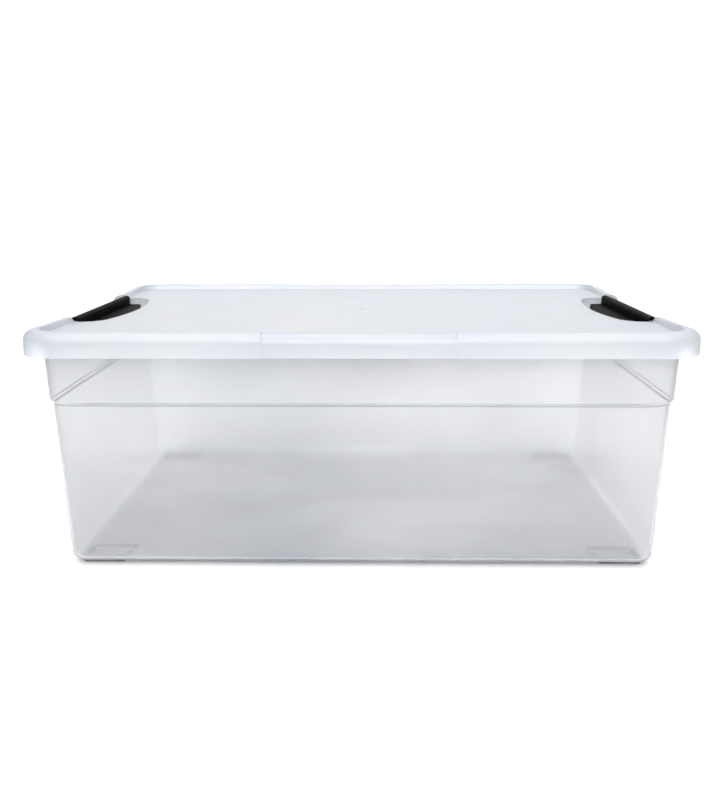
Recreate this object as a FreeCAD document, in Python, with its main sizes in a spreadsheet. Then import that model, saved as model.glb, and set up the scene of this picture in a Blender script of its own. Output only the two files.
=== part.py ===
"""Under bed box: a clear tub, a lid and a clip at each short end, in millimetres.

The origin is at the bottom centre. X runs along the box, Y across it and Z up.
"""

import FreeCAD, Part
import math
import os
import re

import Sketcher
from FreeCAD import Vector

# ---------------------------------------------------------------- driving dimensions

SIZES = {
    # the whole box
    "lid_length": 600,
    "lid_width": 400,
    "crest_level": 225,
    "draft_angle": 3,
    # tub shell
    "base_length": 546,
    "base_width": 346,
    "base_corner": 18,
    "tub_wall": 2.2,
    "floor_thickness": 2.5,
    "foot_height": 4,
    "step_level": 157,
    "step_width": 3,
    "shoulder_level": 203.4,
    "base_round": 9,
    "floor_round": 7,
    # rolled rim of the tub
    "neck_inset": 10.5,
    "neck_wall": 2,
    "neck_level": 210.7,
    "rim_root": 207.4,
    "rim_gap_half": 91,
    "lip_inset": 4.4,
    "lip_wall": 1.8,
    "lip_level": 213.4,
    "roll_out": 296.3,
    "roll_level": 210,
    "roll_radius": 9.1,
    "cavity_drop": 0.9,
    # corner feet
    "foot_length": 50,
    "foot_width": 30,
    "foot_side_inset": 10,
    "foot_taper": 10,
    "foot_edge": 2,
    "foot_skin": 2,
    # lid
    "lid_wall": 1.8,
    "lid_corner": 36,
    "crest_round": 9.4,
    "crest_inset": 14,
    "slope_inset": 17,
    "panel_level": 219,
    "panel_lap": 3,
    "end_drop": 2,
    "ramp_half": 110,
    "joggle_half": 84,
    "joggle_depth": 1,
    "gate_radius": 3,
    "gate_height": 0.4,
    "wall_mark_radius": 2.2,
    "wall_mark_level": 182,
    "wall_mark_offset": 11,
    "wall_mark_depth": 0.8,
    # notch, saddle and finger recess of the lid, under the clip
    "notch_half": 88.5,
    "saddle_edge": 298.1,
    "saddle_radius": 8.3,
    "recess_floor": 209.2,
    "recess_margin": 10,
    "recess_end_radius": 24,
    "recess_end_out": 69,
    # hinge of the clip
    "pivot_out": 293,
    "pivot_level": 208,
    "pin_radius": 1.5,
    "hole_radius": 1.55,
    "ear_radius": 2.7,
    "ear_start": 78,
    "ear_thickness": 2.6,
    "pin_length": 5,
    "lug_gap": 0.4,
    "lug_thickness": 4,
    "lug_web": 1.5,
    # clip
    "clip_half": 87.5,
    "clip_top": 222.5,
    "top_wall": 2.1,
    "shell_slope": 22.2,
    "shell_wall": 1.8,
    "plate_inner": 299.4,
    "plate_wall": 2.2,
    "plate_bottom": 206,
    "plate_seam": 212.5,
    "plate_corner": 5,
    "face_inner": 279.4,
    "face_wall": 2,
    "face_round": 3.2,
    "inside_round": 1,
    "flange_bottom": 210.2,
    "flange_thickness": 2.3,
    "flange_reach": 253.5,
    "flange_half": 86.5,
    "flange_corner": 5,
    "bow_radius": 290,
    "rib_thickness": 2.4,
    "rib_radius": 8.6,
    "rib_reach": 72,
    # how far joined features run into each other, and cuts run past the material
    "lap": 0.5,
    "overcut": 5,
}

# names for lengths that follow from the driving dimensions
ALONG = "(lid_length / 2)"
ACROSS = "(lid_width / 2)"
PANEL_UNDER = "(panel_level - lid_wall)"
RECESS_UNDER = "(recess_floor - lid_wall)"
ROUND_CENTRE = "(lid_length / 2 - crest_round)"
UNDER_ROUND = "(crest_round - lid_wall)"
CAVITY_RADIUS = "(saddle_radius - lid_wall)"
SHELL_RADIUS = "(rib_radius + shell_wall)"
PANEL_EDGE = "(lid_length / 2 - slope_inset - panel_lap)"
FLARE = "45"  # degrees, so that the step and the shoulder rise as far as they widen
RIB_PLACES = (-1, -1 / 3, 1 / 3, 1)  # along the clip, as fractions of rib_reach

TINY = 0.01  # mm, for telling whether an edge lies on a plane

doc = FreeCAD.newDocument("UnderBedBox")
sheet = doc.addObject("Spreadsheet::Sheet", "Sizes")
for row, (alias, value) in enumerate(SIZES.items(), start=1):
    sheet.set(f"A{row}", alias)
    sheet.set(f"B{row}", str(value))
    sheet.setAlias(f"B{row}", alias)
doc.recompute()


# ---------------------------------------------------------------- drawing helpers


def bound(text):
    """The expression with each cell's name pointed at the sheet."""
    return re.sub(
        r"[a-z_]+", lambda word: f"Sizes.{word[0]}" if word[0] in SIZES else word[0], str(text)
    )


def number(text):
    """What the expression comes to now, in millimetres or degrees."""
    return float(sheet.evalExpression(bound(text)))


def plane_of(body, name):
    """The body's own XY, XZ or YZ plane."""
    return next(f for f in body.Origin.OriginFeatures if f.Role == f"{name}_Plane")


def arc_of(start, end, radius, turn):
    """The minor arc from start to end; turn is 1 for counter-clockwise and -1 for clockwise."""
    chord = end - start
    height = math.sqrt(max(radius**2 - (chord.Length / 2) ** 2, 0))
    centre = (start + end) / 2 + Vector(-chord.y, chord.x, 0).normalize() * height * turn
    first, last = (start, end) if turn > 0 else (end, start)
    angles = [math.atan2(p.y - centre.y, p.x - centre.x) for p in (first, last)]
    return Part.ArcOfCircle(Part.Circle(centre, Vector(0, 0, 1), radius), *angles)


def place_point(sketch, geometry, point, name, x_text, y_text):
    """Ties one point of the sketch to its two expressions."""
    for kind, axis, text in (("DistanceX", -2, x_text), ("DistanceY", -1, y_text)):
        value = number(text)
        if abs(value) < TINY:
            sketch.addConstraint(Sketcher.Constraint("PointOnObject", geometry, point, axis))
            continue
        index = sketch.addConstraint(Sketcher.Constraint(kind, -1, 1, geometry, point, value))
        label = f"{kind[-1]}_{name}"
        sketch.renameConstraint(index, label)
        sketch.setExpression(f"Constraints.{label}", bound(text))


def outline(body, name, plane, corners, offset="0", side=1):
    """A closed sketch through the corners, with every size bound to the sheet.

    A corner is (x, y), or (x, y, radius, turn) where an arc leads up to it. A side of -1 mirrors it.
    """
    sketch = body.newObject("Sketcher::SketchObject", name)
    sketch.AttachmentSupport = [(plane_of(body, plane), "")]
    sketch.MapMode = "FlatFace"
    sketch.setExpression(".AttachmentOffset.Base.z", bound(offset))
    corners = [(f"{side} * ({c[0]})", *c[1:]) for c in corners]
    points = [Vector(number(c[0]), number(c[1]), 0) for c in corners]
    arrival, departure = [], []
    for index, corner in enumerate(corners):
        start, end = points[index - 1], points[index]
        clockwise = False
        if len(corner) == 2:
            sketch.addGeometry(Part.LineSegment(start, end), False)
        else:
            turn = corner[3] * side
            clockwise = turn < 0
            sketch.addGeometry(arc_of(start, end, number(corner[2]), turn), False)
        arrival.append(1 if clockwise else 2)
        departure.append(2 if clockwise else 1)
    for index, corner in enumerate(corners):
        after = (index + 1) % len(corners)
        sketch.addConstraint(
            Sketcher.Constraint("Coincident", index, arrival[index], after, departure[after])
        )
        place_point(sketch, index, arrival[index], f"corner_{index}", corner[0], corner[1])
        if len(corner) > 2:
            radius = sketch.addConstraint(Sketcher.Constraint("Radius", index, number(corner[2])))
            sketch.renameConstraint(radius, f"Radius_{index}")
            sketch.setExpression(f"Constraints.Radius_{index}", bound(corner[2]))
    return sketch


def rounded_rectangle(body, name, half_x, half_y, radius, level):
    """A rounded rectangle about the origin, at one level. It starts halfway along the +X side."""
    flat_x, flat_y = f"{half_x} - {radius}", f"{half_y} - {radius}"
    corners = [
        (half_x, flat_y),
        (flat_x, half_y, radius, 1),
        (f"-({flat_x})", half_y),
        (f"-({half_x})", flat_y, radius, 1),
        (f"-({half_x})", f"-({flat_y})"),
        (f"-({flat_x})", f"-({half_y})", radius, 1),
        (flat_x, f"-({half_y})"),
        (half_x, f"-({flat_y})", radius, 1),
        (half_x, "0"),
    ]
    return outline(body, name, "XY", corners, offset=level)


def box_outline(body, name, plane, x_low, x_high, y_low, y_high, offset="0", side=1):
    """A plain rectangle between four sizes."""
    corners = [(x_low, y_low), (x_high, y_low), (x_high, y_high), (x_low, y_high)]
    return outline(body, name, plane, corners, offset, side)


def extrude(body, name, sketch, length, reverse=False, both_ways=False, cut=False):
    """A pad or a pocket. A pad follows the sketch's normal and a pocket goes against it, unless reversed."""
    feature = body.newObject("PartDesign::Pocket" if cut else "PartDesign::Pad", name)
    feature.Profile = sketch
    feature.setExpression("Length", bound(length))
    feature.Reversed = reverse
    if both_ways:
        feature.SideType = "Symmetric"
    body.Tip = feature
    return feature


def loft(body, name, sections, cut=False):
    """A ruled loft through the sections, added to the body or cut from it."""
    feature = body.newObject(
        "PartDesign::SubtractiveLoft" if cut else "PartDesign::AdditiveLoft", name
    )
    feature.Profile = sections[0]
    feature.Sections = sections[1:]
    feature.Ruled = True
    body.Tip = feature
    return feature


def sweep(body, name, profile, spine):
    """The profile carried once round the closed spine."""
    feature = body.newObject("PartDesign::AdditivePipe", name)
    feature.Profile = profile
    feature.Spine = spine
    feature.Transition = "Transformed"
    body.Tip = feature
    return feature


def round_edges(body, name, radius, chosen):
    """A fillet on the body's edges that the test picks."""
    doc.recompute()
    base = body.Tip
    edges = [f"Edge{i}" for i, edge in enumerate(base.Shape.Edges, start=1) if chosen(edge.BoundBox)]
    fillet = body.newObject("PartDesign::Fillet", name)
    fillet.Base = (base, edges)
    fillet.setExpression("Radius", bound(radius))
    body.Tip = fillet
    return fillet


def level_edges(level):
    """Picks the edges that lie at one level."""
    height = number(level)

    def test(box):
        return abs(box.ZMin - height) < TINY and abs(box.ZMax - height) < TINY

    return test


def on_axis(axis, x, radius):
    """The height at x of a cylinder about an axis of the sheet: the clip's pivot or the rim's roll."""
    return f"({axis}_level + sqrt({radius}^2 - ({axis}_out - {x})^2))"


# ---------------------------------------------------------------- tub


def draft_rise(level, stepped):
    """How far the walls have leaned out from the base at a level, below or above the step."""
    if stepped:
        return f"(({level} - step_width - foot_height) * tan(draft_angle) + step_width)"
    return f"(({level} - foot_height) * tan(draft_angle))"


def wall_bands(body, name, inset, bottom, top, drop, cut):
    """The walls from the base to the neck, band by band, as pads or, inset and cut, as the cavity."""
    neck_rise = "((lid_length - base_length) / 2 - neck_inset)"
    shoulder_rise = draft_rise("shoulder_level", True)
    shoulder_height = f"({neck_rise} - {shoulder_rise})"
    bands = [
        ("Lower", bottom, f"step_level - {drop}", draft_rise(f"({bottom} + {drop})", False), "draft_angle"),
        ("Step", f"step_level - {drop}", f"step_level + step_width - {drop}",
         draft_rise("step_level", False), FLARE),
        ("Upper", f"step_level + step_width - {drop}", f"shoulder_level - {drop}",
         draft_rise("(step_level + step_width)", True), "draft_angle"),
        ("Shoulder", f"shoulder_level - {drop}", f"shoulder_level + {shoulder_height} - {drop}",
         shoulder_rise, FLARE),
        ("Neck", f"shoulder_level + {shoulder_height} - {drop}", top, neck_rise, "0"),
    ]
    for band, low, high, rise, lean in bands:
        grow = f"{rise} - {inset}"
        sketch = rounded_rectangle(
            body, f"{name}{band}Outline", f"(base_length / 2 + {grow})", f"(base_width / 2 + {grow})",
            f"(base_corner + {grow})", f"({low})",
        )
        feature = extrude(body, f"{name}{band}", sketch, f"({high}) - ({low})", reverse=cut, cut=cut)
        feature.setExpression("TaperAngle", bound(lean))


def rolled_rim(body):
    """The rim: up from the neck, rolled outward, and down as a lip."""
    inner = f"({ALONG} - neck_inset - neck_wall)"
    outer = f"({ALONG} - neck_inset)"
    lip = f"({ALONG} - lip_inset)"
    lip_inner = f"({lip} - lip_wall)"
    under = "(roll_radius - neck_wall)"
    profile = outline(body, "RimProfile", "XZ", [
        (outer, "rim_root"),
        (outer, on_axis("roll", outer, under)),
        (lip_inner, on_axis("roll", lip_inner, under), under, -1),
        (lip_inner, "lip_level"),
        (lip, "lip_level"),
        (lip, on_axis("roll", lip, "roll_radius")),
        (inner, on_axis("roll", inner, "roll_radius"), "roll_radius", 1),
        (inner, "rim_root"),
    ])
    corner = "(base_corner + (lid_length - base_length) / 2 - lip_inset)"
    spine = rounded_rectangle(
        body, "RimSpine", lip, f"({ACROSS} - lip_inset)", corner, "lip_level"
    )
    sweep(body, "RolledRim", profile, spine)
    for side in (-1, 1):
        name = "RightRimGap" if side > 0 else "LeftRimGap"
        gap = box_outline(
            body, f"{name}Profile", "XZ", f"{inner} - lap", f"{ALONG} + overcut",
            "neck_level", "crest_level + overcut", side=side,
        )
        extrude(body, name, gap, "2 * rim_gap_half", both_ways=True, cut=True)


def foot_section(body, name, side_x, side_y, grow, taper, level):
    """One level of a foot, from its outer corner inward."""
    outer_x = f"(base_length / 2 - foot_side_inset + {grow})"
    outer_y = f"(base_width / 2 - foot_side_inset + {grow})"
    inner_x = f"({outer_x} - foot_length - 2 * {grow} + {taper})"
    inner_y = f"({outer_y} - foot_width - 2 * {grow} + {taper} / 2)"
    x_low, x_high = (inner_x, outer_x) if side_x > 0 else (f"-{outer_x}", f"-{inner_x}")
    y_low, y_high = (inner_y, outer_y) if side_y > 0 else (f"-{outer_y}", f"-{inner_y}")
    return box_outline(body, name, "XY", x_low, x_high, y_low, y_high, level)


def corner_feet(body):
    """Four low hollow feet, each open to the inside of the tub."""
    for side_x in (-1, 1):
        for side_y in (-1, 1):
            name = f"Foot{'Right' if side_x > 0 else 'Left'}{'Back' if side_y > 0 else 'Front'}"
            top = foot_section(body, f"{name}Top", side_x, side_y, "0", "0", "foot_height + 1")
            sole = foot_section(body, f"{name}Sole", side_x, side_y, "-foot_edge", "foot_taper", "0")
            loft(body, name, [sole, top])
            mouth = foot_section(
                body, f"{name}Mouth", side_x, side_y, "-foot_skin", "0",
                "foot_height + floor_thickness + 1",
            )
            well = foot_section(
                body, f"{name}Well", side_x, side_y, "-foot_edge - foot_skin", "foot_taper", "foot_skin"
            )
            loft(body, f"{name}Hollow", [well, mouth], cut=True)


def hinge_lugs(body):
    """Two lugs at each end, out from the neck, with holes for the clip's pins."""
    wall = f"({ALONG} - neck_inset - lap)"
    disc = "sqrt(ear_radius^2 - lug_web^2)"
    start = "(ear_start + ear_thickness + lug_gap)"
    for side in (-1, 1):
        for hand in (-1, 1):
            name = f"Lug{'Right' if side > 0 else 'Left'}{'Back' if hand > 0 else 'Front'}"
            corners = [
                (wall, "pivot_level - lug_web"),
                (f"pivot_out - {disc}", "pivot_level - lug_web"),
                ("pivot_out", "pivot_level - ear_radius", "ear_radius", 1),
                ("pivot_out + ear_radius", "pivot_level", "ear_radius", 1),
                ("pivot_out", "pivot_level + ear_radius", "ear_radius", 1),
                (wall, "pivot_level + ear_radius"),
            ]
            profile = outline(
                body, f"{name}Profile", "XZ", corners, f"{-hand} * {start}", side
            )
            extrude(body, name, profile, "lug_thickness", reverse=hand > 0)
            hole = circle(
                body, f"{name}Hole", "XZ", f"{side} * pivot_out", "pivot_level", "hole_radius",
                f"{-hand} * ({start} + lug_thickness / 2)",
            )
            extrude(body, f"{name}Bore", hole, "lug_thickness + lug_gap", both_ways=True, cut=True)


def circle(body, name, plane, x_text, y_text, radius, offset="0"):
    """A sketch of one circle."""
    sketch = body.newObject("Sketcher::SketchObject", name)
    sketch.AttachmentSupport = [(plane_of(body, plane), "")]
    sketch.MapMode = "FlatFace"
    sketch.setExpression(".AttachmentOffset.Base.z", bound(offset))
    centre = Vector(number(x_text), number(y_text), 0)
    sketch.addGeometry(Part.Circle(centre, Vector(0, 0, 1), number(radius)), False)
    place_point(sketch, 0, 3, "centre", x_text, y_text)
    index = sketch.addConstraint(Sketcher.Constraint("Radius", 0, number(radius)))
    sketch.renameConstraint(index, "Radius_0")
    sketch.setExpression("Constraints.Radius_0", bound(radius))
    return sketch


def mould_marks(body, floor_top):
    """The gate mark on the floor, and a small round mark on the front wall above the step."""
    gate = circle(body, "FloorGateCircle", "XY", "0", "0", "gate_radius", floor_top)
    extrude(body, "FloorGate", gate, "gate_height")
    face = f"(base_width / 2 + {draft_rise('wall_mark_level', True)} - wall_mark_depth / 2)"
    mark = circle(
        body, "WallMarkCircle", "XZ", "wall_mark_offset", "wall_mark_level", "wall_mark_radius", face
    )
    extrude(body, "WallMark", mark, "wall_mark_depth")


def make_tub():
    """The tub: walls, rim, feet, lugs and the marks of its mould."""
    body = doc.addObject("PartDesign::Body", "Tub")
    body.Label = "tub"
    wall_bands(body, "Outside", "0", "foot_height", "neck_level", "0", cut=False)
    floor_top = "(foot_height + floor_thickness)"
    wall_bands(
        body, "Cavity", "tub_wall", floor_top, "(neck_level + overcut)", "cavity_drop", cut=True
    )
    round_edges(body, "FloorRound", "floor_round", level_edges(floor_top))
    round_edges(body, "BaseRound", "base_round", level_edges("foot_height"))
    rolled_rim(body)
    corner_feet(body)
    hinge_lugs(body)
    mould_marks(body, floor_top)
    return body


# ---------------------------------------------------------------- lid


def rim_corners(half=ALONG, shift="0", drop="0"):
    """The lid's rim in section: skirt, rounded shoulder, crest and the slope down to the panel.

    The shift moves all of it in and down, and the drop lowers only the shoulder and crest.
    """
    outer = f"({half} - {shift})"
    centre = f"({outer} - crest_round)"
    crest = f"(crest_level - {shift} - {drop})"
    under = f"({crest} - lid_wall)"
    top = f"({crest} - crest_round)"
    crest_edge = f"({outer} - crest_inset)"
    slope_foot = f"({outer} - slope_inset)"
    panel = f"(panel_level - {shift})"
    slant = f"(atan(({crest_edge} - {slope_foot}) / ({crest} - {panel})))"
    lean = f"(lid_wall / cos({slant}) - lid_wall * tan({slant}))"
    return [
        (outer, "shoulder_level"),
        (outer, top),
        (centre, crest, "crest_round", 1),
        (crest_edge, crest),
        (slope_foot, panel),
        (f"{slope_foot} - panel_lap", panel),
        (f"{slope_foot} - panel_lap", f"{panel} - lid_wall"),
        (f"{slope_foot} + {lean}", f"{panel} - lid_wall"),
        (f"{crest_edge} + {lean}", under),
        (centre, under),
        (f"{outer} - lid_wall", top, UNDER_ROUND, -1),
        (f"{outer} - lid_wall", "shoulder_level"),
    ]


def rim_gap(body, name, plane, half, half_length, side):
    """Cuts a straight length out of one rim, so that another section can take its place."""
    gap = box_outline(
        body, f"{name}Gap", plane, f"({half} - slope_inset - lap)", f"({half} + overcut)",
        "(shoulder_level - overcut)", "(crest_level + overcut)", side=side,
    )
    extrude(body, f"{name}Cut", gap, f"2 * {half_length}", both_ways=True, cut=True)


def joggled_rims(body):
    """The middle of each long rim sits a little lower and further in than its ends."""
    for side in (-1, 1):
        name = "BackJoggle" if side > 0 else "FrontJoggle"
        rim_gap(body, name, "YZ", ACROSS, "joggle_half", side)
        profile = outline(
            body, f"{name}Profile", "YZ", rim_corners(ACROSS, "joggle_depth"), side=side
        )
        extrude(body, name, profile, "2 * joggle_half", both_ways=True)


def lowered_ends(body):
    """Each short rim dips from the corners to a lower crest, where the clip lies in it."""
    straight = f"({ACROSS} - lid_corner)"
    for side in (-1, 1):
        name = "RightEnd" if side > 0 else "LeftEnd"
        rim_gap(body, name, "XZ", ALONG, straight, side)
        stations = [
            (straight, "0"), ("ramp_half", "end_drop"), ("-ramp_half", "end_drop"), (f"-{straight}", "0")
        ]
        sections = [
            outline(
                body, f"{name}Section{index}", "XZ", rim_corners(ALONG, "0", drop), f"({place})", side
            )
            for index, (place, drop) in enumerate(stations, start=1)
        ]
        loft(body, f"{name}Rim", sections)


def recess_corners(grow, close_x):
    """The plan of the finger recess, grown all round and closed by a straight line at close_x."""
    bow_x = "(flange_reach + bow_radius)"
    reach = "(bow_radius + recess_margin - recess_end_radius)"
    sine = f"(recess_end_out / {reach})"
    cosine = f"sqrt(1 - {sine}^2)"
    bow = f"(bow_radius + recess_margin + {grow})"
    end = f"(recess_end_radius + {grow})"
    turn_x, turn_y = f"({bow_x} - {bow} * {cosine})", f"({bow} * {sine})"
    end_x = f"({bow_x} - {reach} * {cosine})"
    close_y = f"(recess_end_out + sqrt({end}^2 - ({close_x} - {end_x})^2))"
    return [
        (close_x, f"-{close_y}", end, 1),
        (close_x, close_y),
        (turn_x, turn_y, end, 1),
        (turn_x, f"-{turn_y}", bow, 1),
    ]


def finger_recess(body, side):
    """The sunk cup in the panel that takes the clip's finger flange and the fingertips."""
    name = "RightRecess" if side > 0 else "LeftRecess"
    cup = outline(
        body, f"{name}CupProfile", "XY", recess_corners("lid_wall", f"({PANEL_EDGE} + lid_wall)"),
        RECESS_UNDER, side,
    )
    extrude(body, f"{name}Cup", cup, f"panel_level - {RECESS_UNDER}")
    well = outline(
        body, f"{name}WellProfile", "XY", recess_corners("0", PANEL_EDGE), "recess_floor", side
    )
    extrude(body, f"{name}Well", well, "crest_level - recess_floor", reverse=True, cut=True)


def clip_notch(body, side):
    """The notch at one end: a saddle that is round about the clip's axis, between two end walls."""
    name = "RightNotch" if side > 0 else "LeftNotch"
    crest = "(crest_level - end_drop)"
    wall_line = f"(pivot_out - {CAVITY_RADIUS})"
    rim_line = f"({ALONG} - lid_wall / 2)"
    shoulder = f"({crest} - crest_round + sqrt(crest_round^2 - ({rim_line} - {ROUND_CENTRE})^2))"
    hem = on_axis("pivot", "saddle_edge", CAVITY_RADIUS)

    block = outline(body, f"{name}BlockProfile", "XZ", [
        (PANEL_EDGE, RECESS_UNDER),
        (PANEL_EDGE, "panel_level"),
        (f"{ALONG} - slope_inset", "panel_level"),
        (f"{ALONG} - crest_inset", crest),
        (ROUND_CENTRE, crest),
        (rim_line, shoulder, "crest_round", -1),
        (rim_line, hem),
        ("saddle_edge", hem),
        (wall_line, "pivot_level", CAVITY_RADIUS, 1),
        (wall_line, RECESS_UNDER),
    ], side=side)
    extrude(body, f"{name}Block", block, "2 * (notch_half + lid_wall)", both_ways=True)

    foot = "(pivot_out - sqrt(saddle_radius^2 - (recess_floor - pivot_level)^2))"
    opening = outline(body, f"{name}SaddleProfile", "XZ", [
        (f"{PANEL_EDGE} - lap", "recess_floor"),
        (foot, "recess_floor"),
        ("saddle_edge", on_axis("pivot", "saddle_edge", "saddle_radius"), "saddle_radius", -1),
        ("saddle_edge", "shoulder_level - overcut"),
        (f"{ALONG} + overcut", "shoulder_level - overcut"),
        (f"{ALONG} + overcut", "crest_level + overcut"),
        (f"{PANEL_EDGE} - lap", "crest_level + overcut"),
    ], side=side)
    extrude(body, f"{name}Saddle", opening, "2 * notch_half", both_ways=True, cut=True)


def make_lid():
    """The lid: panel, rim, joggles, lowered ends, finger recesses, clip notches and the gate mark."""
    body = doc.addObject("PartDesign::Body", "Lid")
    body.Label = "lid"
    profile = outline(body, "RimSection", "XZ", rim_corners())
    spine = rounded_rectangle(body, "LidSpine", ALONG, ACROSS, "lid_corner", "shoulder_level")
    sweep(body, "LidRim", profile, spine)
    edge = "(slope_inset + 2 * lap)"
    panel = rounded_rectangle(
        body, "PanelOutline", f"({ALONG} - {edge})", f"({ACROSS} - {edge})",
        f"(lid_corner - {edge})", PANEL_UNDER,
    )
    extrude(body, "Panel", panel, "lid_wall")
    joggled_rims(body)
    lowered_ends(body)
    for side in (-1, 1):
        finger_recess(body, side)
        clip_notch(body, side)
    gate = circle(body, "PanelGateCircle", "XY", "0", "0", "gate_radius", "panel_level")
    extrude(body, "PanelGate", gate, "gate_height")
    return body


# ---------------------------------------------------------------- clips


def slope_x(level, radius):
    """Where the clip's sloping top, tangent to a cylinder about its axis, comes to a level."""
    rise = f"({level} - pivot_level) * cos(shell_slope)"
    return f"(pivot_out + ({radius} - {rise}) / sin(shell_slope))"


def slope_foot(radius):
    """Where the sloping top touches the cylinder."""
    return f"(pivot_out + {radius} * sin(shell_slope))", f"(pivot_level + {radius} * cos(shell_slope))"


def clip_channel(body, side):
    """The clip in section: a shell that is round about its axis, a sloping top and the inner face."""
    outer = "(plate_inner + plate_wall)"
    inner = "(face_inner + face_wall)"
    under = "(clip_top - top_wall)"
    profile = outline(body, "ChannelProfile", "XZ", [
        ("plate_inner", "plate_seam"),
        (outer, "plate_seam"),
        (outer, on_axis("pivot", outer, SHELL_RADIUS)),
        (*slope_foot(SHELL_RADIUS), SHELL_RADIUS, 1),
        (slope_x("clip_top", SHELL_RADIUS), "clip_top"),
        ("face_inner + face_round", "clip_top"),
        ("face_inner", "clip_top - face_round", "face_round", 1),
        ("face_inner", "flange_bottom"),
        (inner, "flange_bottom"),
        (inner, f"{under} - inside_round"),
        (f"{inner} + inside_round", under, "inside_round", -1),
        (slope_x(under, "rib_radius"), under),
        slope_foot("rib_radius"),
        ("plate_inner", on_axis("pivot", "plate_inner", "rib_radius"), "rib_radius", -1),
    ], side=side)
    extrude(body, "Channel", profile, "2 * clip_half", both_ways=True)


def clip_plate(body, side):
    """The outer plate below the shell, with rounded lower corners."""
    profile = outline(body, "PlateProfile", "YZ", [
        ("clip_half - plate_corner", "plate_bottom"),
        ("clip_half", "plate_bottom + plate_corner", "plate_corner", 1),
        ("clip_half", "plate_seam + lap"),
        ("-clip_half", "plate_seam + lap"),
        ("-clip_half", "plate_bottom + plate_corner"),
        ("-(clip_half - plate_corner)", "plate_bottom", "plate_corner", 1),
    ], f"{side} * plate_inner")
    extrude(body, "Plate", profile, "plate_wall", reverse=side < 0)


def clip_ribs(body, side):
    """Ribs inside the channel, hollowed to a cylinder that rolls over the lid's saddle."""
    face = "(face_inner + face_wall - lap)"
    foot = "(pivot_out - sqrt(rib_radius^2 - (flange_bottom - pivot_level)^2))"
    top = "(clip_top - top_wall + lap)"
    sunk = "(rib_radius + lap)"
    for index, place in enumerate(RIB_PLACES, start=1):
        profile = outline(body, f"RibProfile{index}", "XZ", [
            (face, "flange_bottom"),
            (foot, "flange_bottom"),
            (*slope_foot("rib_radius"), "rib_radius", -1),
            slope_foot(sunk),
            (slope_x(top, sunk), top),
            (face, top),
        ], f"{-place} * rib_reach", side)
        extrude(body, f"Rib{index}", profile, "rib_thickness", both_ways=True)


def finger_flange(body, side):
    """The bowed flange at the foot of the inner face, with rounded ends."""
    root = "(face_inner + face_wall)"
    tip = "(flange_reach + bow_radius - sqrt(bow_radius^2 - flange_half^2))"
    flange = outline(body, "FlangeProfile", "XY", [
        (root, "-flange_half"),
        (root, "flange_half"),
        (tip, "flange_half"),
        (tip, "-flange_half", "bow_radius", 1),
    ], "flange_bottom", side)
    extrude(body, "Flange", flange, "flange_thickness")
    corner = side * number(tip)

    def upright(box):
        return abs(box.XMin - corner) < TINY and abs(box.XMax - corner) < TINY and box.YLength < TINY

    round_edges(body, "FlangeEnds", "flange_corner", upright)


def clip_hinge(body, side):
    """Two ears behind the plate, each with a pin that turns in a lug of the tub."""
    back = "(plate_inner + lap)"
    low, high = "(pivot_level - ear_radius)", "(pivot_level + ear_radius)"
    for hand in (-1, 1):
        name = "BackEar" if hand > 0 else "FrontEar"
        offset = f"{-hand} * ear_start"
        profile = outline(body, f"{name}Profile", "XZ", [
            (back, "plate_bottom"),
            (back, high),
            ("pivot_out", high),
            ("pivot_out - ear_radius", "pivot_level", "ear_radius", 1),
            ("pivot_out", low, "ear_radius", 1),
        ], offset, side)
        extrude(body, name, profile, "ear_thickness", reverse=hand > 0)
        pin = circle(
            body, f"{name}PinCircle", "XZ", f"{side} * pivot_out", "pivot_level", "pin_radius", offset
        )
        extrude(body, f"{name}Pin", pin, "ear_thickness + pin_length", reverse=hand > 0)


def make_clip(name, side):
    """One clip. A side of 1 is the one at +X and -1 its mirror image."""
    body = doc.addObject("PartDesign::Body", "RightClip" if side > 0 else "LeftClip")
    body.Label = name
    clip_channel(body, side)
    clip_plate(body, side)
    finger_flange(body, side)
    clip_ribs(body, side)
    clip_hinge(body, side)
    return body


# ---------------------------------------------------------------- check and write


def check_document():
    """Stops at the first object that failed, because a recompute can leave one without raising."""
    for item in doc.Objects:
        if {"Invalid", "Error"} & set(item.State):
            raise RuntimeError(f"{item.Name} failed: {item.State}")


bodies = [make_tub(), make_lid(), make_clip("left_clip", -1), make_clip("right_clip", 1)]
doc.recompute()
check_document()
os.makedirs("parts", exist_ok=True)
for body in bodies:
    shape = body.Shape
    if shape.isNull() or not shape.isValid() or len(shape.Solids) != 1:
        raise RuntimeError(f"{body.Label} is not one valid solid")
    print(f"{body.Label}: {shape.Volume / 1000:.1f} cm3, {shape.BoundBox}")
    shape.exportStep(f"parts/{body.Label}.step")
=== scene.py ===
"""Looks, light and camera for the under bed box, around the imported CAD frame.

All four mouldings are the CAD nodes themselves. They only get materials here: clear polypropylene
for the tub, milky polypropylene for the lid and black plastic for the two clips.
Units are metres, in the part's own frame: +X along the box, +Y away from the camera, +Z up.
"""

import math

import bpy
from mathutils import Matrix

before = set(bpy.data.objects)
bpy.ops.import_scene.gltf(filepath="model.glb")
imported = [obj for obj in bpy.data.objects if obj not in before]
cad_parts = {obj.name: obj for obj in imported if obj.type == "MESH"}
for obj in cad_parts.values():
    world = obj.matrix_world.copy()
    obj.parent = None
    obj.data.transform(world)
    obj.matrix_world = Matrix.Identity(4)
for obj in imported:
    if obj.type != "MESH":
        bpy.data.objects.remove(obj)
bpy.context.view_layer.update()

PICTURE_HEIGHT = 800  # pixels, the longer side of the render
SENSOR = 36.0  # mm, Blender's default sensor along that side


# ---------------------------------------------------------------- node helpers
def add_node(tree, kind, **settings):
    """A new node with its plain settings made, such as blend_type='MULTIPLY'."""
    node = tree.nodes.new(kind)
    for name, value in settings.items():
        setattr(node, name, value)
    return node


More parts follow.
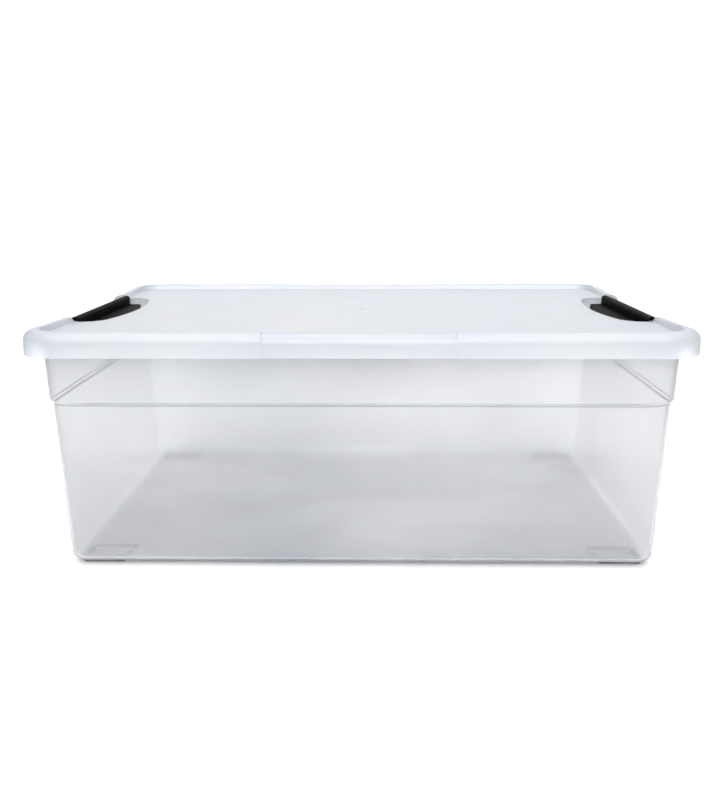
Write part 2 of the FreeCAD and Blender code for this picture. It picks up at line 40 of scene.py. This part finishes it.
def feed(tree, socket, source):
    """Links an input to another node's output, or sets it to a plain value."""
    if isinstance(source, bpy.types.NodeSocket):
        tree.links.new(source, socket)
    else:
        socket.default_value = source


def set_inputs(tree, node, **sources):
    """Feeds inputs by name, with _ for a space: Base_Color=(...)."""
    for name, source in sources.items():
        feed(tree, node.inputs[name.replace("_", " ")], source)
    return node


def new_material(name):
    """A material with one Principled shader, and the tree, shader and object coordinates."""
    material = bpy.data.materials.new(name)
    material.use_nodes = True
    tree = material.node_tree
    shader = tree.nodes["Principled BSDF"]
    place = add_node(tree, "ShaderNodeTexCoord").outputs["Object"]
    return material, tree, shader, place


def parts(tree, vector):
    """The X, Y and Z of a vector."""
    node = add_node(tree, "ShaderNodeSeparateXYZ")
    feed(tree, node.inputs["Vector"], vector)
    return node.outputs["X"], node.outputs["Y"], node.outputs["Z"]


def calculate(tree, operation, *operands):
    """One step of arithmetic on values and outputs."""
    node = add_node(tree, "ShaderNodeMath", operation=operation)
    for socket, operand in zip(node.inputs, operands):
        feed(tree, socket, operand)
    return node.outputs["Value"]


def spread(tree, value, low, high, start=0.0, end=1.0):
    """Maps a value from start..end to low..high."""
    node = add_node(tree, "ShaderNodeMapRange")
    set_inputs(tree, node, Value=value, From_Min=start, From_Max=end, To_Min=low, To_Max=high)
    return node.outputs["Result"]


def noise(tree, place, scale, detail=2.0, roughness=0.5, stretch=(1, 1, 1)):
    """A noise pattern in object space, scale in waves per metre, longer where stretch is small."""
    mapping = add_node(tree, "ShaderNodeMapping")
    set_inputs(tree, mapping, Vector=place, Scale=stretch)
    node = add_node(tree, "ShaderNodeTexNoise")
    set_inputs(
        tree, node, Vector=mapping.outputs["Vector"], Scale=scale, Detail=detail, Roughness=roughness
    )
    return node.outputs["Fac"]


def colour_ramp(tree, value, stops):
    """A colour picked by a value from 0 to 1, through (place, colour) stops."""
    ramp = add_node(tree, "ShaderNodeValToRGB")
    elements = ramp.color_ramp.elements
    while len(elements) < len(stops):
        elements.new(0.5)
    for element, (place, colour) in zip(elements, stops):
        element.position = place
        element.color = (*colour, 1)
    feed(tree, ramp.inputs["Fac"], value)
    return ramp.outputs["Color"]


def two_tone(tree, value, tones):
    """A colour between two, picked by a value from 0 to 1."""
    dark, light = tones
    return colour_ramp(tree, value, ((0.0, dark), (1.0, light)))


def grey_ramp(tree, value, levels):
    """A grey picked by a value from 0 to 1, through (place, level) stops."""
    return colour_ramp(tree, value, [(place, (level, level, level)) for place, level in levels])


def mix_colours(tree, amount, first, second, blend="MIX"):
    """Two colours mixed or multiplied, by an amount from 0 to 1."""
    node = add_node(tree, "ShaderNodeMix", data_type="RGBA", blend_type=blend)
    colours = [socket for socket in node.inputs if socket.type == "RGBA"]
    feed(tree, node.inputs["Factor"], amount)
    feed(tree, colours[0], first)
    feed(tree, colours[1], second)
    return next(socket for socket in node.outputs if socket.type == "RGBA")


def bump(tree, shader, heights):
    """Chains bumps onto the shader's normal: (pattern, strength, depth in metres) each."""
    last = None
    for value, strength, depth in heights:
        node = add_node(tree, "ShaderNodeBump")
        set_inputs(tree, node, Height=value, Strength=strength, Distance=depth)
        if last is not None:
            set_inputs(tree, node, Normal=last)
        last = node.outputs["Normal"]
    set_inputs(tree, shader, Normal=last)


def absorb(tree, colour, density):
    """Lets the plastic itself swallow light, so that it looks darker where the path in it is long."""
    node = add_node(tree, "ShaderNodeVolumeAbsorption")
    set_inputs(tree, node, Color=(*colour, 1), Density=density)
    feed(tree, tree.nodes["Material Output"].inputs["Volume"], node.outputs["Volume"])


# ---------------------------------------------------------------- materials
# A noise pattern stays near 0.5, so a range such as (0.4, 0.6) of it is spread over both tones.
PLASTIC_IOR = 1.49

FOOT_FADE = (0.0036, 0.0042)  # m above the ground, where the painted shade on the sides of the feet ends
SOLE_TILT = (0.6, 0.8)  # how level a face is, from a foot's side to its sole
BOTTOM_FADE = (0.006, 0.016)  # m above the ground, between the bottom, made paler as painted light, and the walls
HAZE_RANGE, CLOUD_RANGE = (0.38, 0.62), (0.36, 0.60)
WALL_TONES = (0.83, 0.84, 0.865), (0.955, 0.96, 0.97)
# Random clouds on the bottom, paler in part than the walls as painted light for the shaded inside of the
# box.
BOTTOM_CLOUD_AND_LIGHT_TONES = (0.74, 0.76, 0.80), (1.0, 1.0, 1.0)
# Painted shade: the grey of the feet's steep sides stands in for the shadow where they meet the ground.
FOOT_SHADE_GREY = (0.34, 0.34, 0.35)
CLEAR_ROUGHNESS = (0.03, 0.11)
CLEAR_TRANSMISSION = 0.80
CLEAR_TINT, CLEAR_DENSITY = (0.30, 0.33, 0.38), 27.0  # what it lets through, and how much it absorbs
WAVE_BUMP, FLOW_BUMP = (0.25, 0.002), (0.06, 0.0004)  # strength, and depth in m


def clear_colour(tree, place):
    """Hazy walls, a cloudy bottom made paler than the walls as painted light, and darker sides on the
    feet as painted shade.
    """
    height = parts(tree, place)[2]
    haze = noise(tree, place, 5.0, detail=3.0, stretch=(0.7, 1, 1))
    wall = two_tone(tree, spread(tree, haze, 0.0, 1.0, *HAZE_RANGE), WALL_TONES)
    # The bottom's clouds are random tone, and their paler side is painted light.
    clouds = noise(tree, place, 9.0, detail=3.0, stretch=(0.6, 1, 1))
    bottom = two_tone(tree, spread(tree, clouds, 0.0, 1.0, *CLOUD_RANGE), BOTTOM_CLOUD_AND_LIGHT_TONES)
    tub = mix_colours(tree, spread(tree, height, 1.0, 0.0, *BOTTOM_FADE), wall, bottom)

    # Painted shade: low, steep faces of the feet are greyed where they meet the ground.
    upright = parts(tree, add_node(tree, "ShaderNodeTexCoord").outputs["Normal"])[2]
    steep = spread(tree, calculate(tree, "ABSOLUTE", upright), 1.0, 0.0, *SOLE_TILT)
    low = spread(tree, height, 1.0, 0.0, *FOOT_FADE)
    painted_foot_shade = calculate(tree, "MULTIPLY", steep, low)
    return mix_colours(tree, painted_foot_shade, tub, (*FOOT_SHADE_GREY, 1))


def clear_plastic():
    """Clear, glossy polypropylene, faintly grey, with the slow waves a moulded wall has."""
    material, tree, shader, place = new_material("clear_polypropylene")
    waves = noise(tree, place, 7.0, detail=1.0)
    flow = noise(tree, place, 30.0, detail=3.0, stretch=(0.25, 0.25, 1.6))
    set_inputs(
        tree,
        shader,
        Base_Color=clear_colour(tree, place),
        Roughness=spread(tree, flow, *CLEAR_ROUGHNESS),
        Transmission_Weight=CLEAR_TRANSMISSION,
        IOR=PLASTIC_IOR,
    )
    absorb(tree, CLEAR_TINT, CLEAR_DENSITY)
    bump(tree, shader, [(waves, *WAVE_BUMP), (flow, *FLOW_BUMP)])
    return material


MILKY_RANGE = (0.35, 0.65)
MILKY_TONES = (0.91, 0.94, 1.0), (0.965, 0.98, 1.0)
MILKY_ROUGHNESS = (0.24, 0.40)
MILKY_TRANSMISSION = 0.72
MILKY_TINT, MILKY_DENSITY = (0.30, 0.33, 0.40), 21.0
MILKY_GRAIN_BUMP = (0.02, 0.0001)


def milky_plastic():
    """Milky, half see-through polypropylene with a soft gloss."""
    material, tree, shader, place = new_material("milky_polypropylene")
    cloud = noise(tree, place, 9.0)
    grain = noise(tree, place, 900.0)
    set_inputs(
        tree,
        shader,
        Base_Color=two_tone(tree, spread(tree, cloud, 0.0, 1.0, *MILKY_RANGE), MILKY_TONES),
        Roughness=spread(tree, cloud, *MILKY_ROUGHNESS),
        Transmission_Weight=MILKY_TRANSMISSION,
        IOR=PLASTIC_IOR,
    )
    absorb(tree, MILKY_TINT, MILKY_DENSITY)
    bump(tree, shader, [(grain, *MILKY_GRAIN_BUMP)])
    return material


BLACK_TONES = (0.0015, 0.0015, 0.0018), (0.004, 0.004, 0.0045)
BLACK_ROUGHNESS = (0.40, 0.62)
BLACK_IOR, BLACK_SPECULAR = 1.45, 0.03
BLACK_GRAIN_BUMP = (0.12, 0.00012)


def black_plastic():
    """Black polypropylene, satin, with a fine moulded grain and paler scuffs."""
    material, tree, shader, place = new_material("black_plastic_satin")
    grain = noise(tree, place, 1400.0)
    scuffs = noise(tree, place, 60.0, detail=4.0, roughness=0.6, stretch=(1, 0.3, 1))
    set_inputs(
        tree,
        shader,
        Base_Color=two_tone(tree, scuffs, BLACK_TONES),
        Roughness=spread(tree, scuffs, *BLACK_ROUGHNESS),
        IOR=BLACK_IOR,
        Specular_IOR_Level=BLACK_SPECULAR,
    )
    bump(tree, shader, [(grain, *BLACK_GRAIN_BUMP)])
    return material


def give(node, material):
    """Puts a material in every slot of a CAD node."""
    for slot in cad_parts[node].material_slots:
        slot.material = material


give("tub", clear_plastic())
give("lid", milky_plastic())
clip_finish = black_plastic()
for clip in ("left_clip", "right_clip"):
    give(clip, clip_finish)


# ---------------------------------------------------------------- floor and painted shade sheet
FLOOR_LEVEL = -0.0002  # m, just under the soles, so that nothing flickers
FLOOR_HALF = 30.0  # m, far enough to reach the horizon
FLOOR_TONES = (0.93, 0.93, 0.93), (0.95, 0.95, 0.95)
PAPER_ROUGHNESS, PAPER_SPECULAR = 0.9, 0.1

SHADE_SHEET_LEVEL = -0.0001  # m, between the floor and the soles
SHADE_SHEET_FRONT, SHADE_SHEET_BACK, SHADE_SHEET_HALF = -1.5, 3.5, 3.3  # m, its edges in Y, and half its width
SHADE_SHEET_SLANT = 0.36  # how fast its painted shade at the sides leaves the box towards the back
SIDE_FADE = (0.36, 0.72)  # m from the middle of the box, over which its sides turn to painted shade
BACK_FADE = (0.20, 0.60)  # m behind the middle of the box, over which its back turns to the box's painted shadow
MIDDLE_FADE = (-0.25, 0.15)  # m sideways along the slant, over which the painted shadow behind the box ends
SHADE_SHEET_WHITE = 0.93
SIDE_SHADE_LEFT, BACK_SHADOW_LEFT = 0.48, 0.50  # what is left of the white at the end of each fade of painted shade


def flat_sheet(name, low, high, level):
    """A flat rectangle of the stage, between two corners."""
    corners = ((low[0], low[1]), (high[0], low[1]), (high[0], high[1]), (low[0], high[1]))
    mesh = bpy.data.meshes.new(name)
    mesh.from_pydata([(x, y, level) for x, y in corners], [], [(0, 1, 2, 3)])
    sheet = bpy.data.objects.new(name, mesh)
    bpy.context.scene.collection.objects.link(sheet)
    return sheet


def paper(name):
    """A dull paper material, to be given its colour."""
    material, tree, shader, place = new_material(name)
    set_inputs(tree, shader, Roughness=PAPER_ROUGHNESS, Specular_IOR_Level=PAPER_SPECULAR)
    return material, tree, shader, place


def pale_floor():
    """A plain, pale floor that runs out past the horizon."""
    floor = flat_sheet("floor", (-FLOOR_HALF, -FLOOR_HALF), (FLOOR_HALF, FLOOR_HALF), FLOOR_LEVEL)
    material, tree, shader, place = paper("floor_paper")
    fibre = noise(tree, place, 40.0, detail=3.0)
    set_inputs(tree, shader, Base_Color=two_tone(tree, fibre, FLOOR_TONES))
    floor.data.materials.append(material)


def painted_shade_sheet():
    """A sheet on the floor painted with shade beside the box and with the box's shadow behind it. It
    only shows in the plastic.
    """
    shade_sheet = flat_sheet("painted_shade_sheet", (-SHADE_SHEET_HALF, SHADE_SHEET_FRONT), (SHADE_SHEET_HALF, SHADE_SHEET_BACK), SHADE_SHEET_LEVEL)
    material, tree, shader, place = paper("painted_shade_paper")
    across, along, _ = parts(tree, place)
    # Painted shade: greys the sheet beside the box and paints the box's shadow behind it, seen only in
    # and through the plastic.
    sideways = calculate(
        tree, "MULTIPLY_ADD", along, -SHADE_SHEET_SLANT, calculate(tree, "ABSOLUTE", across)
    )
    sides = spread(tree, sideways, SHADE_SHEET_WHITE, SHADE_SHEET_WHITE * SIDE_SHADE_LEFT, *SIDE_FADE)
    behind = calculate(
        tree,
        "MULTIPLY",
        spread(tree, along, 0.0, 1.0, *BACK_FADE),
        spread(tree, sideways, 1.0, 0.0, *MIDDLE_FADE),
    )
    grey = calculate(tree, "MULTIPLY", sides, spread(tree, behind, 1.0, BACK_SHADOW_LEFT))
    set_inputs(tree, shader, Base_Color=grey)
    shade_sheet.data.materials.append(material)
    shade_sheet.visible_camera = False
    shade_sheet.visible_shadow = False
    shade_sheet.visible_diffuse = False


# ---------------------------------------------------------------- world and lights
WORLD_SEEN = 1.05  # brightness of the plain white that the camera sees
WORLD_BAND = (  # how bright the surroundings are, from straight down to straight up
    (0.0, 0.90),
    (0.47, 0.90),
    (0.56, 1.08),
    (0.75, 1.25),
    (1.0, 1.55),
)
SIDE_SHADE = (  # and how much of that is left, from the middle to the far left and right
    (0.0, 1.0),
    (0.40, 0.88),
    (0.65, 0.32),
    (1.0, 0.12),
)
WARM_TO_COOL = (1.0, 0.975, 0.96), (0.94, 0.97, 1.0)  # from the left to the right of the surroundings
LAMPS = (  # name, degrees from overhead towards the front, width in degrees, strength
    ("sky_light", 10, 80, 0.9),
    ("front_light", 55, 40, 1.8),
)


def studio_world():
    """Soft light from all round, dim at the two sides, and plain white where the camera sees it."""
    world = bpy.data.worlds.new("studio")
    bpy.context.scene.world = world
    world.use_nodes = True
    tree = world.node_tree
    across, _, up = parts(tree, add_node(tree, "ShaderNodeTexCoord").outputs["Generated"])
    band = grey_ramp(tree, spread(tree, up, 0.0, 1.0, start=-1.0), WORLD_BAND)
    shade = grey_ramp(tree, calculate(tree, "ABSOLUTE", across), SIDE_SHADE)
    tint = two_tone(tree, spread(tree, across, 0.0, 1.0, start=-1.0), WARM_TO_COOL)
    shaded = mix_colours(tree, 1.0, band, shade, blend="MULTIPLY")
    lit = tree.nodes["Background"]
    set_inputs(tree, lit, Color=mix_colours(tree, 1.0, shaded, tint, blend="MULTIPLY"))

    seen = add_node(tree, "ShaderNodeBackground")
    set_inputs(tree, seen, Color=(1.0, 1.0, 1.0, 1.0), Strength=WORLD_SEEN)
    choice = add_node(tree, "ShaderNodeMixShader")
    set_inputs(tree, choice, Fac=add_node(tree, "ShaderNodeLightPath").outputs["Is Camera Ray"])
    tree.links.new(lit.outputs["Background"], choice.inputs[1])
    tree.links.new(seen.outputs["Background"], choice.inputs[2])
    tree.links.new(choice.outputs["Shader"], tree.nodes["World Output"].inputs["Surface"])


def wide_lamp(name, tip, width, strength):
    """A very wide, soft, distant lamp, so that the whole floor is lit alike."""
    light = bpy.data.lights.new(name, "SUN")
    light.angle = math.radians(width)
    light.energy = strength
    holder = bpy.data.objects.new(name, light)
    bpy.context.scene.collection.objects.link(holder)
    holder.rotation_euler = (math.radians(tip), 0, 0)


pale_floor()
painted_shade_sheet()
studio_world()
for lamp in LAMPS:
    wide_lamp(*lamp)


# ---------------------------------------------------------------- camera
CAMERA_PLACE = (0.0172, -0.9037, 0.3442)
CAMERA_PITCH = 0.1859  # radians below level
CAMERA_TURN = 0.0181  # radians to the left of +Y
CAMERA_ROLL = -0.0029  # radians
FOCAL_PIXELS = 841.8
SHIFT_UP = -0.0634  # of the longer side
NEAREST = 0.01  # m, from where the camera sees
CLEAR_LAYERS = 24  # see-through surfaces that a ray may cross


def studio_camera():
    """The camera, with its shift only as large as the framing needs."""
    data = bpy.data.cameras.new("camera")
    data.lens = FOCAL_PIXELS / PICTURE_HEIGHT * SENSOR
    data.sensor_width = SENSOR
    data.shift_y = SHIFT_UP
    data.clip_start = NEAREST
    camera = bpy.data.objects.new("camera", data)
    bpy.context.scene.collection.objects.link(camera)
    turn = Matrix.Rotation(CAMERA_TURN, 4, "Z")
    tip = Matrix.Rotation(math.pi / 2 - CAMERA_PITCH, 4, "X")
    roll = Matrix.Rotation(CAMERA_ROLL, 4, "Z")
    camera.matrix_world = Matrix.Translation(CAMERA_PLACE) @ turn @ tip @ roll
    bpy.context.scene.camera = camera


studio_camera()
bpy.context.scene.view_settings.view_transform = "Standard"
bpy.context.scene.cycles.transparent_max_bounces = CLEAR_LAYERS
